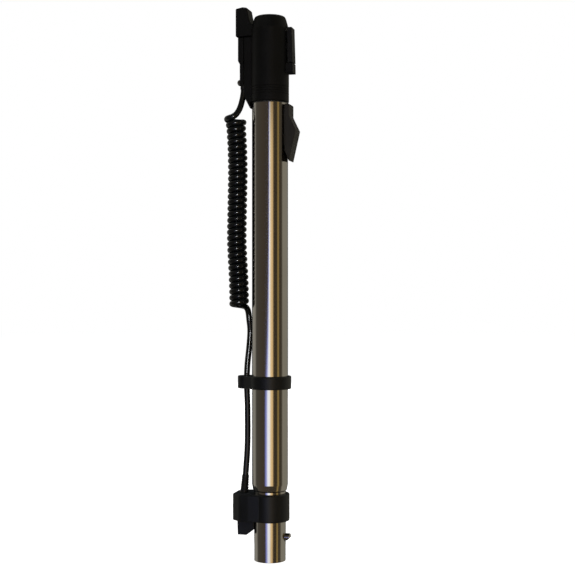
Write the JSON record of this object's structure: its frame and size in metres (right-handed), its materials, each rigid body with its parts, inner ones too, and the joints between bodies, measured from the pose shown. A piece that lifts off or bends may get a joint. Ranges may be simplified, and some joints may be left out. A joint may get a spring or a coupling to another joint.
{
  "type": "telescopic electric vacuum wand",
  "caption": "Collapsed chrome telescopic vacuum wand with a plastic coupling, a lock lever, a nozzle end with a locking stud, and a curly power cord clipped along its side.",
  "frame": {"origin": "centre of the nozzle end's rim", "axes": "+Z along the wand from the nozzle end to the handle end, +X towards the lock lever and the buttons, -X towards the cord"},
  "size_m": [0.0748, 0.0426, 0.5524],
  "materials": {
    "tube_chrome": "polished chrome plate with fine draw lines",
    "inner_chrome": "polished chrome plate",
    "button_chrome": "polished",
    "barrel_plastic": "fine moulded satin",
    "trim_plastic": "fine moulded satin",
    "lever_plastic": "fine moulded satin",
    "latch_plastic": "satin",
    "bush_plastic": "smooth",
    "glide_plastic": "smooth",
    "insulator": "smooth",
    "cord_jacket": "glossy flexible jacket",
    "relief_rubber": "satin",
    "seal_rubber": "matt",
    "lead_wire": "smooth insulation",
    "steel": "zinc-plated",
    "screw_steel": "plated",
    "spring_steel": "oiled",
    "brass": "bright"
  },
  "bodies": {
    "outer_wand": {"outer_tube": "tube_chrome", "guide_bush": "bush_plastic", "lock_base": "lever_plastic", "lock_rivets": "steel", "lever_pin": "steel", "lever_spring": "spring_steel", "cord_clip": "trim_plastic", "connector_collar": "trim_plastic", "collar_cover": "trim_plastic", "collar_screws": "screw_steel", "socket_block": "trim_plastic", "socket_contacts": "brass", "lower_leads": "lead_wire", "lower_strain_relief": "relief_rubber", "spring_anchor": "spring_steel", "anchor_rivet": "button_chrome", "cord_lower": "cord_jacket", "cord_coil": "cord_jacket"},
    "lock_rocker": {"lock_lever": "lever_plastic", "lock_pawl": "steel"},
    "nozzle_stud": {"lock_button": "button_chrome", "button_spring": "spring_steel"},
    "handle_end": {"inner_tube_lower": "inner_chrome", "inner_tube_middle": "inner_chrome", "inner_tube_upper": "inner_chrome", "glide_ring": "glide_plastic", "coupling_barrel": "barrel_plastic", "barrel_rivet": "screw_steel", "handle_seal": "seal_rubber", "rear_cover": "barrel_plastic", "cover_screw": "screw_steel", "plug_shroud": "barrel_plastic", "pin_block": "insulator", "plug_pins": "brass", "upper_leads": "lead_wire", "latch_housing": "barrel_plastic", "latch_pin": "steel", "latch_spring": "spring_steel", "upper_strain_relief": "relief_rubber", "cord_upper": "cord_jacket"},
    "latch_rocker": {"latch_button": "latch_plastic"}
  },
  "joints": [
    {"name": "telescope", "type": "slide", "parent": "outer_wand", "child": "handle_end", "axis": [0, 0, 1], "range_m": [0, 0.3], "deforming": ["cord_coil"]},
    {"name": "lock_lever_tilt", "type": "hinge", "parent": "outer_wand", "child": "lock_rocker", "pos_m": [0.022, 0, 0.424], "axis": [0, 1, 0], "range_deg": [0, 4], "stiffness_Nm_per_rad": 0.02, "springref_deg": -11.46, "deforming": ["lever_spring"]},
    {"name": "nozzle_stud_press", "type": "hinge", "parent": "outer_wand", "child": "nozzle_stud", "pos_m": [0.01365, 0, 0.0546], "axis": [0, 1, 0], "range_deg": [0, 10], "stiffness_Nm_per_rad": 0.03, "springref_deg": -8.59},
    {"name": "latch_button_tilt", "type": "hinge", "parent": "handle_end", "child": "latch_rocker", "pos_m": [0.021, 0, 0.512], "axis": [0, 1, 0], "range_deg": [0, 7], "stiffness_Nm_per_rad": 0.005, "springref_deg": -17.19, "deforming": ["latch_spring"]}
  ]
}
